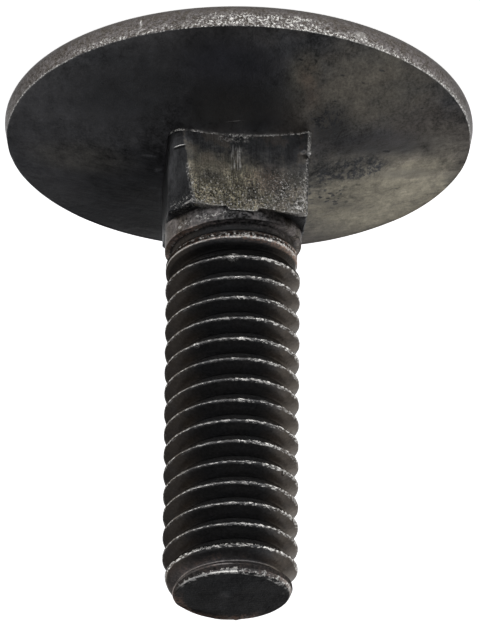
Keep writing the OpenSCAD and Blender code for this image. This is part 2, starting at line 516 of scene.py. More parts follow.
class OBJECT_OT_roll_bolt_thread(bpy.types.Operator):
    """Roll the thread on the shank, from its run-out at the collar to the lead at the tip"""
    bl_idname = "object.roll_bolt_thread"
    bl_label = "Roll Thread"

    INSIDE = 3.0  # height above the rim of the underside where the sweep starts
    WALL = 0.84  # share of the section outside the root that the flank takes
    FLANK_SLOPE, NARROWEST = 0.589, 0.38  # opening of the groove by its depth, and at its start
    BURR_WAY, BURR_REACH = Vector((0.47, 0.88)), 48  # where the burr stands, and its degrees
    BURR_OUT, BURR_UP = 0.12, 0.14
    CUT_BACK, BEVEL = 0.30, ((0.06, 0.12), (0.10, 0.08))  # the sheared end, and its worn edge
    END_BAND, END_RADIUS = 0.6, 3.3  # what the burr lifts: depth of the end, and from where

    def execute(self, context):
        steps, thread = context.scene.bolt_thread.steps, Thread(context.scene)
        base = thread.edge + self.INSIDE
        turns = math.ceil((thread.end - base) / thread.pitch) + 3
        clear()
        bpy.ops.mesh.primitive_plane_add(size=1, location=(0, 0, 0))
        shank = context.object
        shank.name = "bolt_shank"
        bpy.ops.object.mode_set(mode="EDIT")
        bpy.ops.mesh.merge(type="CENTER")
        self.draw_section(thread, base)
        bpy.ops.object.mode_set(mode="OBJECT")
        apply_modifier(shank, "SCREW", axis="Z", angle=math.tau, screw_offset=thread.pitch,
                       iterations=turns, steps=steps, render_steps=steps)
        bpy.ops.object.mode_set(mode="EDIT")
        bpy.ops.mesh.select_all(action="SELECT")
        bpy.ops.mesh.remove_doubles(threshold=0.002)
        bpy.ops.object.mode_set(mode="OBJECT")
        self.run_out(shank, thread)
        self.shear_ends(shank, thread, base + 2 * thread.pitch)
        return {"FINISHED"}

    def draw_section(self, thread, base):
        """Draws one pitch of the section, from the middle of one root to the next."""
        pitch, depth = thread.pitch, thread.depth
        root, flank = thread.ROOT * pitch, thread.FLANK * pitch
        points = [(0, 1.0), (0.5 * root, 0.985), (root, 0.93)]
        points += [(root + flank * t, 0.93 - 0.93 * t) for t in (0.2, 0.4, 0.6, 0.8, 0.95)]
        points += [(root + flank * 1.02, 0.006), (root + flank + 0.02 * pitch, 0.0)]
        points += [(thread.CREST * pitch, 0.0)]
        points += [(pitch - z, low_by) for z, low_by in reversed(points)]
        place = Vector((0, 0, 0))
        pick("verts", lambda v: True)
        start_phase = thread.start - thread.start_turn * pitch
        first_z = base + (start_phase - base) % pitch
        for z, low_by in points:
            target = Vector((thread.radius - low_by * depth, 0, first_z + z))
            if place.length == 0:
                bpy.ops.transform.translate(value=target)
            else:
                bpy.ops.mesh.extrude_region_move(TRANSFORM_OT_translate={"value": target - place})
            place = target

    def run_out(self, shank, thread):
        """Fades the groove out at the collar, opens it with its depth and rounds the tip."""
        half, bottom = thread.pitch / 2, thread.ROOT * thread.pitch

        def rule(co):
            turns, off = thread.sweep(co)
            sunk = (thread.radius - co.xy.length) / thread.depth
            root, land = thread.root(turns), thread.land(turns if off > 0 else turns - 1)
            if abs(off) > bottom:
                span = (abs(off) - bottom) / (half - bottom)
                wall, flat = share(span / self.WALL), max(0.0, span - self.WALL) / (1 - self.WALL)
                kept = share((land - root) / thread.depth)
                opened = self.NARROWEST + (1 - self.NARROWEST) * kept
                open_to = bottom + wall * thread.depth * self.FLANK_SLOPE * opened
                off = math.copysign(open_to + flat * (half - open_to), off)
            z = thread.start + thread.pitch * turns + off
            radius = land - (land - root) * sunk
            around = co.xy.normalized()
            radius = min(radius, thread.lead_in(z) - self.tip_shape(around, thread)
                         * share((z - thread.end + thread.lead) / thread.lead))
            wear = dent("crest", co.x, co.y, z) + dent("crest_grain", co.x, co.y, z)
            radius += wear * share(1 - sunk * 5)
            return Vector((*(around * max(radius, 0.5)), z))
        move_vertices(shank, rule)

    def tip_shape(self, around, thread):
        """How much the lead is ground off centre, less the burr that stands out at the back."""
        return thread.tip_offset * around.x - self.BURR_OUT * self.burr(around)

    def burr(self, around):
        """1 where the shear left its burr, fading to both sides."""
        return ease(1 - math.degrees(abs(around.angle_signed(self.BURR_WAY))) / self.BURR_REACH)

    def shear_ends(self, shank, thread, base):
        """Cuts the blank square inside the neck and shears the tip at a slight slant."""
        take_up(shank)
        bpy.ops.object.mode_set(mode="EDIT")
        for height, normal, outer in ((thread.end - self.CUT_BACK, thread.slant, True),
                                      (base, UP, False)):
            bpy.ops.mesh.select_all(action="SELECT")
            bpy.ops.mesh.bisect(plane_co=(0, 0, height), plane_no=normal, use_fill=True,
                                clear_outer=outer, clear_inner=not outer, threshold=1e-5)
        bpy.ops.mesh.select_all(action="SELECT")
        bpy.ops.mesh.normals_make_consistent(inside=False)
        pick("faces", lambda face: len(face.verts) > 40 and face.normal.z > 0.9)
        for inward, outward in self.BEVEL:
            step_in(inward, outward, thread.slant)
        bpy.ops.object.mode_set(mode="OBJECT")

        def raised(co):
            out, up = co.xy.length - self.END_RADIUS, co.z - thread.end + self.END_BAND
            if up < 0 or out < 0:
                return co
            lift = self.BURR_UP * self.burr(co.xy.normalized()) * share(out / 0.4)
            return co + UP * (lift * share(up / 0.3))
        move_vertices(shank, raised)


# weld ----------------------------------------------------------------------------------------


class OBJECT_OT_weld_bolt(bpy.types.Operator):
    """Weld head, neck and shank into the one forging and scale it to size"""
    bl_idname = "object.weld_bolt"
    bl_label = "Weld Bolt"

    SMOOTH_UNDER = 38  # degrees between faces

    def execute(self, context):
        bolt = bpy.data.objects["bolt_head"]
        for name in ("bolt_neck", "bolt_collar", "bolt_shank"):
            tool = bpy.data.objects[name]
            apply_modifier(bolt, "BOOLEAN", object=tool, operation="UNION", solver="MANIFOLD",
                           material_mode="TRANSFER")
            bpy.data.objects.remove(tool)
        bolt.name = "elevator_bolt"
        bolt.scale = (1 / MM,) * 3
        settle(bolt)
        bpy.ops.object.shade_smooth_by_angle(angle=math.radians(self.SMOOTH_UNDER))
        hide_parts(NODE)
        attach(bolt, "root")
        return {"FINISHED"}


# finish --------------------------------------------------------------------------------------


class OBJECT_OT_blacken_bolt(bpy.types.Operator):
    """Give head, neck and shank their black oxide finish"""
    bl_idname = "object.blacken_bolt"
    bl_label = "Blacken Bolt"

    def execute(self, context):
        for zone, paint, pieces in (("head", head_finish, ["bolt_head"]),
                                    ("neck", neck_finish, ["bolt_neck"]),
                                    ("shank", shank_finish, ["bolt_shank", "bolt_collar"])):
            material = oxide_skin("black_oxide_" + zone, context.scene, paint)
            for piece in pieces:
                bpy.data.objects[piece].data.materials.append(material)
        return {"FINISHED"}


def feed(slot, value):
    """Links a value to a socket, or sets a constant on it."""
    value = getattr(value, "socket", value)
    if isinstance(value, bpy.types.NodeSocket):
        slot.id_data.links.new(value, slot)
    else:
        slot.default_value = value


def add_node(tree, kind, **inputs):
    """A new shader node with its inputs fed by name."""
    node = tree.nodes.new("ShaderNode" + kind)
    for name, value in inputs.items():
        feed(node.inputs[name], value)
    return node


def scaled(tree, vector, factor):
    """A vector or a colour times a factor."""
    node = tree.nodes.new("ShaderNodeVectorMath")
    node.operation = "SCALE"
    feed(node.inputs[0], vector)
    feed(node.inputs["Scale"], factor)
    return node.outputs[0]


class Field:
    """A value in a shader that is reckoned with like a number."""

    def __init__(self, tree, socket):
        self.tree, self.socket = tree, socket

    def math(self, operation, *others, clamp=False):
        """The result of a math node."""
        node = self.tree.nodes.new("ShaderNodeMath")
        node.operation, node.use_clamp = operation, clamp
        for slot, value in zip(node.inputs, (self, *others)):
            feed(slot, value)
        return Field(self.tree, node.outputs[0])

    def __add__(self, other):
        return self.math("ADD", other)

    def __sub__(self, other):
        return self.math("SUBTRACT", other)

    def __rsub__(self, other):
        return self * -1 + other

    def __mul__(self, other):
        return self.math("MULTIPLY", other)

    def __truediv__(self, other):
        return self.math("DIVIDE", other)

    def ramp(self, start, end):
        """Smooth rise from 0 at the start to 1 at the end."""
        node = self.tree.nodes.new("ShaderNodeMapRange")
        node.interpolation_type = "SMOOTHSTEP"
        limits = (start, end, 0, 1) if start < end else (end, start, 1, 0)
        for slot, value in zip(node.inputs, (self, *limits)):
            feed(slot, value)
        return Field(self.tree, node.outputs[0])

    def over(self, edge, soft):
        """1 above the edge, 0 below it, soft across the width given."""
        return self.ramp(edge - soft / 2, edge + soft / 2)

    def under(self, edge, soft):
        """1 below the edge, 0 above it."""
        return self.ramp(edge + soft / 2, edge - soft / 2)

    def between(self, start, end, soft):
        """1 between two edges."""
        return self.over(start, soft) * self.under(end, soft)

    def kept(self):
        """Held between 0 and 1."""
        return self.math("ADD", 0, clamp=True)

    def swing(self, reach):
        """Noise from 0 to 1 made to swing both ways from 0, as far as half the reach."""
        return (self - 0.5) * reach

    def at_least(self, floor):
        """Not under the floor."""
        return self.math("MAXIMUM", floor)


def largest(fields):
    """The greatest of several values."""
    first, *others = fields
    for field in others:
        first = first.math("MAXIMUM", field)
    return first


class Skin:
    """The bolt's surface in millimetres, with the places that its finishes go by."""

    def __init__(self, tree, scene):
        self.tree, self.thread, self.neck = tree, Thread(scene), in_mm(scene.bolt_neck)
        self.place = scaled(tree, add_node(tree, "TexCoord").outputs["Object"], MM)
        split = add_node(tree, "SeparateXYZ", Vector=self.place)
        self.x, self.y, self.z = (Field(tree, out) for out in split.outputs)
        head = in_mm(scene.bolt_head)
        self.rim = self.distance(self.x + head.offset, self.y)
        self.radius = self.distance(self.x, self.y)
        self.turn = self.y.math("ARCTAN2", self.x) * (1 / math.tau)
        self.degrees = self.turn * 360
        self.lip = head.diameter / 2 - head.belly
        self.above = self.z - ((self.lip - self.rim) * math.tan(head.slope) + head.edge)
        self.band = self.z.under(head.edge - 0.04, 0.06)

    def distance(self, x, y):
        """Distance from an axis."""
        return (x * x + y * y).math("SQRT")

    def phase(self):
        """Place across the thread: 0 in the groove, a half on the crest."""
        rise = (self.z - self.thread.start) / self.thread.pitch
        return (rise - self.turn + self.thread.start_turn).math("FRACT")

    def past_end(self):
        """Distance beyond the plane of the sheared end."""
        lean = self.thread.slant
        return self.x * lean.x + self.y * lean.y + (self.z - self.thread.end + 0.1) * lean.z

    def above_shoulder(self):
        """Height above the shoulder's edge along the front face, as the neck was pressed."""
        half, steps, span, floor, rise = self.neck.width / 2, 56, 10, 8, 4
        node = self.tree.nodes.new("ShaderNodeFloatCurve")
        points = node.mapping.curves[0].points
        for step in range(steps + 1):
            x = (step / steps - 0.5) * span
            height = shoulder_height(x, -half, half, self.neck, self.thread.edge)
            place = step / steps, (height - floor) / rise
            if 0 < step < steps:
                points.new(*place)
            else:
                points[-1 if step else 0].location = place
        for point in points:
            point.handle_type = "VECTOR"
        node.mapping.update()
        feed(node.inputs["Value"], (self.x + self.neck.offset) / span + 0.5)
        return self.z - (Field(self.tree, node.outputs[0]) * rise + floor)

    def squeezed(self, *scale):
        """The place, squeezed or drawn out along the axes."""
        if scale == (1, 1, 1):
            return self.place
        return add_node(self.tree, "Mapping", Vector=self.place, Scale=scale).outputs[0]

    def noise(self, scale, detail=3, roughness=0.7, x=1, y=1, z=1, warp=0):
        """Cloudy noise from 0 to 1; scale is in clouds to the millimetre."""
        node = add_node(self.tree, "TexNoise", Vector=self.squeezed(x, y, z), Scale=scale,
                        Detail=detail, Roughness=roughness, Distortion=warp)
        return Field(self.tree, node.outputs[0])

    def grains(self, scale, y):
        """Distance from the nearest of many scattered points, in cell widths."""
        node = add_node(self.tree, "TexVoronoi", Vector=self.squeezed(1, y, 1), Scale=scale)
        return Field(self.tree, node.outputs["Distance"])

    def oval(self, soft, *spans):
        """A soft oval patch, by distances from its middle and half sizes."""
        parts = [distance / half for distance, half in spans]
        square = parts[0] * parts[0]
        for part in parts[1:]:
            square = square + part * part
        return square.math("SQRT").ramp(1 + soft / 2, 1 - soft / 2)

    def spot(self, x, y, long, wide, turn=0, z=None, soft=0.9):
        """A soft oval patch round a place: on the head by x and y, or at a height too."""
        cos, sin = math.cos(math.radians(turn)), math.sin(math.radians(turn))
        dx, dy = self.x - x, self.y - y
        spans = [(dx * cos + dy * sin, long), (dy * cos - dx * sin, wide)]
        if z is not None:
            spans.append((self.z - z, wide))
        return self.oval(soft, *spans)

    def front_spot(self, x, z, wide, high, soft=1.2):
        """A soft oval patch on the front of the neck."""
        return self.oval(soft, (self.x - x, wide), (self.z - z, high))

    def spots(self, rows, soft):
        """The strongest of several patches; each row ends with its strength."""
        return largest(self.spot(*row, soft=soft) * strength for *row, strength in rows)

    def front_spots(self, rows):
        """The strongest of several patches on the front of the neck."""
        return largest(self.front_spot(*row) * strength for *row, strength in rows)

    def mix(self, amount, one, two):
        """The second colour laid over the first by an amount."""
        node = self.tree.nodes.new("ShaderNodeMix")
        node.data_type = "RGBA"
        slots = [slot for slot in node.inputs if slot.enabled]
        feed(slots[0], amount)
        for slot, value in zip(slots[1:], (one, two)):
            feed(slot, value if isinstance(value, bpy.types.NodeSocket) else (*value, 1))
        return next(out for out in node.outputs if out.enabled)

    def coats(self, base, *coats):
        """Coats of colour laid over a base, each by its amount."""
        for amount, colour in coats:
            base = self.mix(amount, base, colour)
        return base


# patches on the underside: x, y, half length, half width, turn in degrees, strength
DARK_STAINS = (
    (-10.1, -2.1, 4.6, 1.5, 165, 0.50),
    (-6.1, -5.6, 1.5, 1.9, 0, 0.75),
    (-0.8, -12.4, 2.2, 1.6, 0, 0.55),
    (0.2, -8.2, 4.0, 3.4, 0, 0.65),
    (3.0, -13.2, 2.4, 1.3, 20, 0.30),
    (8.6, 5.5, 4.5, 2.8, 30, 0.45),
    (5.9, 2.4, 1.4, 4.5, 0, 0.45),
    (-12.0, 2.7, 1.9, 0.7, 165, 0.35),
    (-7.4, 6.6, 2.0, 0.6, 150, 0.30),
    (6.5, -10.8, 4.2, 2.6, 30, 0.40),
    (5.4, 9.6, 5.6, 3.0, 30, 1.0),
    (7.4, -8.0, 5.0, 3.2, 40, 0.55),
    (7.0, -5.6, 3.6, 3.0, 0, 0.30),
)
WARM_STAINS = (
    (-8.6, -9.6, 5.2, 4.6, 40, 0.42),
    (-4.3, -11.0, 1.3, 2.4, 0, 0.60),
    (-11.0, 7.6, 8.6, 6.4, 130, 1.0),
    (-13.6, 1.0, 2.4, 4.0, 0, 0.40),
    (-12.8, 2.3, 3.2, 1.9, 172, 0.85),
    (10.4, 1.8, 3.4, 2.0, 20, 0.30),
)
BLUE_STAINS = ((0.8, -12.0, 3.0, 2.4, 0, 0.45), (-9.6, -2.6, 4.4, 1.3, 165, 0.18))
# zones of the underside painted lighter or darker, likewise; the dark one beside the neck's side, at x
# 4.9, is a painted shadow
TONE_AND_SHADOW_ZONES = (
    (-7.5, 8.5, 4.0, 3.0, 0, 0.05),
    (0.6, -12.0, 3.4, 3.0, 0, 0.20),
    (5.5, 9.5, 5.0, 4.0, 0, -0.22),
    (8.5, 1.5, 5.0, 3.5, 0, -0.10),
    (5.5, -5.5, 6.0, 4.5, 30, -0.14),
    (13.0, -4.0, 4.5, 4.0, 0, 0.28),
    (-11.8, 1.6, 3.0, 2.0, 172, 0.34),
    (-11.8, 4.4, 3.4, 2.4, 172, 0.20),
    (-8.0, -3.2, 2.2, 1.6, 0, -0.12),
    (-11.3, -3.0, 2.8, 1.6, 0, 0.15),
    (-9.2, 4.8, 2.6, 1.8, 0, -0.35),
    (-13.4, -4.0, 2.2, 1.3, 0, -0.22),
    (-8.0, -11.5, 3.4, 2.0, 30, 0.12),
    (-4.8, -7.4, 1.0, 1.5, 0, -0.12),
    # painted shadow beside the neck's side
    (4.9, -3.0, 1.3, 3.6, 0, -0.30),
    (9.6, 0.4, 2.4, 1.4, 0, -0.12),
    (6.2, 5.6, 1.8, 1.5, 0, -0.25),
    (13.0, 4.4, 2.6, 3.6, 20, 0.35),
    (10.0, 9.6, 3.0, 2.2, 130, 0.15),
    (-1.6, -10.6, 1.6, 1.6, 0, -0.12),
    (-14.0, 2.1, 1.3, 1.2, 0, -0.25),
    (-8.3, 10.6, 3.4, 1.6, 38, 0.25),
    (4.6, 12.2, 2.2, 1.8, 0, -0.35),
    (-10.2, -9.7, 2.2, 1.6, -46, 0.05),
)
# small dark pits on the underside: x, y, radius
PITS = ((-3.8, -12.7, 0.20), (-6.8, -10.9, 0.17), (-9.5, -11.1, 0.24), (-8.3, -9.9, 0.12),
        (-12.6, -6.2, 0.14), (-6.5, -8.1, 0.13), (-5.2, -6.3, 0.15), (9.6, -8.4, 0.13),
        (12.2, -3.1, 0.12), (-9.2, -0.9, 0.16), (-11.6, 5.0, 0.15), (-10.5, -1.2, 0.3))
# scratches and scuffs on the underside: x, y, half length, half width, turn in degrees
SCRATCHES = ((0.26, -6.25, 0.6, 0.05, 12), (5.9, -0.8, 0.55, 0.16, 15), (5.2, 0.9, 0.4, 0.2, 60))
# patches on the front of the neck: x, z, half width, half height, strength
GOLDEN_PATCHES = ((2.3, 8.7, 1.5, 0.9, 1.0), (0.3, 8.4, 0.55, 1.9, 1.0), (-1.7, 9.2, 0.9, 0.7, 0.6),
                  (3.3, 7.2, 0.7, 1.2, 0.5), (-0.8, 7.4, 0.5, 0.8, 0.5))
DARK_PATCHES = ((-1.0, 8.7, 0.45, 0.75, 1.0), (-2.8, 8.2, 0.65, 0.8, 0.6), (1.9, 7.5, 0.7, 0.4, 0.9),
                (0.9, 9.2, 0.35, 0.6, 0.5), (-3.4, 6.6, 0.8, 0.9, 0.4))
# edges of the neck's front: its face, its left end, and the crease, which leans with height
FRONT, LEFT_END, CREASE, LEAN = -4.15, -4.78, 4.45, 0.16
# the nick on the flattened corner: place and slope
NICK_X, NICK_Z, NICK_SLOPE = 3.85, 5.08, 0.03
# heights of the collar's end, the first land, the first full crest and the lead
COLLAR_END, LAND, FIRST_CREST, LEAD = 11, (10.9, 12.2), 11.7, 36.5
# across the thread, 0 in the groove and a half on the crest: its sides, crest and bright line
HEAD_SIDE, TIP_SIDE, CREST, BRIGHT = (0.30, 0.485), (0.57, 0.95), (0.455, 0.590), (0.521, 0.550)
# small burrs on the crests: x, y, z, radius
BURRS = ((0.26, -4.62, 13.72, 0.34), (-2.40, -3.97, 36.30, 0.34), (2.7, -3.75, 20.2, 0.22),
         (-1.2, -4.5, 22.9, 0.22), (-3.6, -2.9, 29.3, 0.26))


def underside(skin, finish):
    """Colour, tone and pits of the conical underside, with painted light near the neck's front, and
    painted shade on its -X side and beside the neck.
    """
    cloud = skin.noise(0.17, 4, 0.55)
    smudge = skin.noise(1, 5, 0.66, y=0.6, warp=0.3)
    fine = skin.noise(5.5, 3, 0.72, y=0.6)
    crumbs = skin.noise(3.4, 4, 0.8, y=0.5).ramp(0.44, 0.57)
    brown = cloud.ramp(0.34, 0.58) * (skin.x.under(-2, 6) * 0.5 + 0.15)
    blue = skin.spots(BLUE_STAINS, 1.3) * (smudge * 0.8 + 0.5)
    warm = (skin.spots(WARM_STAINS, 1.1) * (smudge * 1.1 + 0.45)).kept()
    rusty = skin.spot(-4.6, -10.2, 0.7, 2.2, 8, soft=1.5) * smudge.ramp(0.30, 0.62) * 0.42
    ragged = (smudge * 0.45 + fine * 0.55).ramp(0.33, 0.60)
    dark = (skin.spots(DARK_STAINS, 1.3) * ragged * 1.35).kept()
    mottled = (skin.spot(-8.4, 0.7, 2.3, 1.7, 170) * (crumbs * 0.95 + 0.30)
               + skin.spot(-5.7, 0.4, 0.9, 3.4, soft=1.2) * crumbs * 0.6
               + skin.spot(-6.1, -6.1, 1.5, 1.7, soft=1.1) * (crumbs * 0.8 + 0.2)).kept()
    pits = largest(skin.spot(x, y, size, size * 0.45, 150, soft=0.8) for x, y, size in PITS)
    flecks = (skin.grains(1.7, y=0.9) + fine.swing(0.9)).under(0.27, 0.16)
    flecks = flecks * skin.spot(-6.3, 3.7, 3.8, 1.6, 112, soft=0.8)
    base = skin.coats(finish.oxide, (brown, finish.brown), (blue, finish.blue),
                      (warm, finish.olive), (rusty, finish.rust),
                      (dark.math("MAXIMUM", mottled), finish.smoke),
                      ((pits * 0.8 + flecks).kept(), finish.smoke))
    scratches = largest(skin.spot(*scratch) for scratch in SCRATCHES) * (crumbs * 0.7 + 0.3)
    calm = skin.spot(-8.5, -8, 6, 5, 40, soft=1)
    drawn = skin.noise(2, 4, x=0.3, y=1.2).swing(skin.y.over(-1, 5))
    # painted shade: the -X side of the underside's front, towards the right-hand boxes that light it,
    # made darker
    lit = skin.x.under(-3.5, 2.5) * skin.y.under(3, 3)
    tone = (fine.swing(1.1) + smudge.swing(calm * -0.7 + 1.4) + cloud.swing(0.8) + 0.7
            + drawn + scratches * 0.9 + warm * 0.2 - lit * 0.26)
    for *zone, amount in TONE_AND_SHADOW_ZONES:
        tone = tone + skin.spot(*zone, soft=1.4) * amount
    # painted light: the underside made up to 2.3 times lighter close to the front of the neck, lifting
    # its shade and dark reflection there
    painted_light_by_neck = skin.radius.ramp(13, 4.5) * skin.y.ramp(0.5, -5) * (
        skin.x.between(-4.6, 4.6, 2.6) * 0.9 + 0.1)
    return base, tone.at_least(0.15) * (painted_light_by_neck * 1.3 + 1), pits


def rolled_edge(skin, finish):
    """Colour of the edge: mauve-brown, grainy and darker towards the flat face, with painted light
    across the front, where it faces the camera.
    """
    grain, fine = skin.noise(2.4, 4, 0.75, z=1.6), skin.noise(7.5, z=1.4)
    coarse = skin.z.ramp(0.4, 1.7) * 0.75 + 0.22
    # the front of the edge, which faces the camera, made lighter: painted reflection of the floor
    tone = ((grain.swing(2.6) + fine.swing(3)) * coarse + skin.z.ramp(0.3, 1.5) * 0.3
            + skin.degrees.between(-150, -30, 40) * 0.2 + 0.38
            - skin.degrees.between(-50, 0, 20) * 0.08)
    return skin.mix(grain.ramp(0.35, 0.6), finish.brown, finish.mauve), tone.at_least(0.18)


def edge_sparkle(skin):
    """Crushed metal along the edge: dense across the front, a thin line at the sides."""
    degrees, z = skin.degrees, skin.z
    grain = skin.noise(5.5, 3.5, 0.8, z=1.3).ramp(0.49, 0.62)
    clumps = skin.noise(1.5, 3, 0.65, z=1.5).ramp(0.38, 0.56)
    dashes = skin.noise(1.5, z=0.4).ramp(0.40, 0.54)
    patchy = skin.noise(0.7, 3, 0.6).swing(0.8)
    ragged = skin.noise(2.4, 4, 0.78, z=0.7).swing(0.75)
    crushed = degrees.between(-106, -79, 14) * (z + patchy).between(0.95, 1.78, 0.35)
    lower = degrees.between(-128, -44, 20) * (z + patchy).ramp(1.25, 1.65) * 0.75
    line = degrees.between(-179, -96, 10) + degrees.between(-42, -4, 10) * 0.85
    line = line * ((z + ragged).ramp(1.70, 1.84) * (grain * 0.8 + 0.1)
                   + z.ramp(1.78, 1.83) * dashes * (grain * 0.7 + 0.2))
    frosted = (z + patchy * 0.8).ramp(1.30, 1.80) * degrees.between(-168, -102, 14)
    around = grain * degrees.between(-165, -22, 30) * 0.07
    marks = (skin.spot(7.26, -14.34, 0.09, 0.32, 27, z=1.04, soft=0.6) * (grain * 0.8 + 0.25)
             + skin.spot(-7.85, -14.29, 0.5, 0.30, -28, z=1.36) * (grain * 0.5 + 0.25))
    return ((crushed * 1.5 + lower * 1.1) * grain * (clumps + 0.15)
            + (line + frosted * grain * 0.7) * 0.9 + around * skin.band
            + marks * 0.8).kept() * skin.rim.over(skin.lip - 0.06, 0.04)


def neck_masks(skin):
    """The front face, and the heights above the shoulder's edge and above the nick."""
    wobble = skin.noise(1.6).swing(0.5)
    front = (skin.y.under(FRONT, 0.25) * skin.x.over(LEFT_END, 0.14)
             * (skin.x + skin.z * LEAN + wobble).under(CREASE, 0.16))
    return front, skin.above_shoulder(), skin.z - NICK_Z - (skin.x - NICK_X) * NICK_SLOPE


def neck_colour(skin, finish):
    """Colour of the neck: blue-black near the head, olive and gold towards the shoulder, with painted
    light on the front face and painted shade in the hollow and under the nick.
    """
    front, from_edge, from_nick = neck_masks(skin)
    scraped, streaky = skin.noise(3.6, 4, z=0.14), skin.noise(9, z=0.13)
    blotch = skin.noise(0.9, 4, 0.65)
    fine = skin.noise(8, 4, 0.85) * 0.82 + skin.noise(2.6) * 0.18
    wavy = skin.z + blotch.swing(3.6) + skin.x * LEAN
    right = skin.x.under(-1.5, 2)
    low_down = wavy.ramp(6.2, 8.6) * front
    rich = skin.front_spots(GOLDEN_PATCHES)
    gloomy = skin.front_spots(DARK_PATCHES) * (blotch * 0.8 + 0.6)
    column = skin.x.between(-1.5, 0.9, 0.8) * skin.z.ramp(6, 7.4) * front
    olive = front * wavy.ramp(4.9, 7.2) * (right * -0.40 + 0.85)
    rusty = skin.spot(-2, -4.9, 1.3, 1, z=7.7, soft=1.2) * fine.ramp(0.42, 0.60)
    golden = (low_down * fine.ramp(0.47, 0.62) * (rich * 0.42 + 0.12)
              + column * streaky.ramp(0.50, 0.64) * 0.25)
    base = skin.coats(finish.oxide, (olive, finish.olive),
                      (blotch.ramp(0.50, 0.60) * 0.5 * front, finish.brown),
                      (rusty * 0.6, finish.rust), (golden.kept(), finish.gold),
                      ((gloomy * front * 0.6).kept(), finish.smoke))
    # painted light: the front face, which faces the camera, gets over twice the tone of the other faces
    light = front * (low_down * -0.08 + 0.50 - blotch.ramp(0.56, 0.42) * 0.16) + 0.34
    coarse = low_down * (rich * 3.5 + 5) * (blotch.ramp(0.40, 0.56) * 0.9 + 0.35) + 1.5
    speckle = fine.swing(coarse) + blotch.swing(1.8) + column * streaky.swing(2.6)
    tone = light * (scraped.swing(1.1) + speckle - gloomy * 0.15 + 0.95
                    + right * low_down * 0.25)
    # painted shade: below the nick, and in the notch above the lip at the tight corner
    shade = (from_nick.between(0.05, 0.20, 0.08) * skin.x.between(3.6, 4.4, 0.3)
             * skin.y.under(-3, 0.3) + skin.spot(-4.6, -4.6, 0.5, 0.14, z=5.62, soft=0.6))
    # painted light: the +X face and the faces behind the front made up to a quarter lighter
    side = (skin.x.over(4.2, 0.2) + skin.y.over(-3.4, 0.4)).kept()
    # painted shade in the hollow shoulder beyond its edge, joined with the shade above
    hidden = (from_edge.over(0.05, 0.05) * 0.40 + shade * 0.8).kept()
    return base, (tone * (1 - hidden) * (side * 0.25 + 1)).at_least(0.10)


def neck_wear(skin):
    """Bare steel on the neck: its junction, its shoulder's edge, scratches and corners."""
    front, from_edge, from_nick = neck_masks(skin)
    x, z, faces = skin.x, skin.z, skin.y.under(-4.1, 0.3)
    chips = skin.noise(5.6, 4, 0.8).ramp(0.48, 0.68)
    dashes = skin.noise(1.7).ramp(0.38, 0.54)
    streaks = skin.noise(11, 2, 0.6, z=0.08).ramp(0.48, 0.62)
    peaks = skin.noise(6.8, 3, 0.85).ramp(0.56, 0.66)
    foot = skin.above.between(-0.05, 0.13, 0.05) * faces * (dashes * (chips * 1.7 + 0.3) + 0.05)
    knot = skin.spot(0.2, -4.9, 1, 9) * skin.above.between(-0.1, 0.6, 0.3) * chips
    rim = from_edge.between(-0.12, 0.02, 0.03) * (chips * 1.7 + 0.15) * faces
    rim = rim * (x.between(-3, -1.6, 0.5) * -0.8 + 1)
    burst = skin.front_spot(-4.15, 9.9, 0.6, 0.35, 0.8) * faces * chips * 1.4
    tongue = (x.between(-1.50, -1.24, 0.06) * from_edge.between(-0.45, 0, 0.1)
              + x.between(-1.3, 0.9, 0.2) * from_edge.between(-0.18, 0.03, 0.05)) * faces
    crease = (x + z * LEAN).between(4.33, 4.62, 0.12) * z.between(6.5, 9.9, 0.5) * faces * chips
    column = ((x - z.ramp(6.4, 9.4) * 0.65).between(-6.2, -4.72, 0.3) * chips
              * z.between(5.6, 10.4, 0.8) * 0.85 * skin.y.under(-3.9, 0.5))
    hook = (x.between(-5.4, -4.72, 0.14) * skin.y.under(-2.8, 0.6) * z.between(3.8, 5.5, 0.2)
            * x.under(-4.80, 0.05) * (chips + 0.3) * skin.y.under(-4.25, 0.2))
    scratches = x.between(-0.25, 0.5, 0.2) * z.between(5.2, 6.8, 0.7) * streaks * front
    pale = front * x.between(-4.7, -2.6, 0.8) * z.ramp(6.6, 8.4) * 0.7
    white = (front * z.ramp(6, 9.4) * 0.8 + from_edge.between(-0.8, 0, 0.4) * 0.6 + pale) * peaks
    facet = x.between(2.9, 4.5, 0.4) * z.between(9, 10, 0.4) * peaks * 0.8
    nick = (from_nick.between(-0.035, 0.02, 0.03) * x.between(3.7, 4.3, 0.3)
            * skin.y.under(-3, 0.3))
    return (foot + knot * 1.1 + rim + tongue * chips + crease * 0.8 + column + hook
            + scratches * 0.6 + white * faces + burst + facet * skin.y.under(-2.9, 0.4)
            + nick).kept()


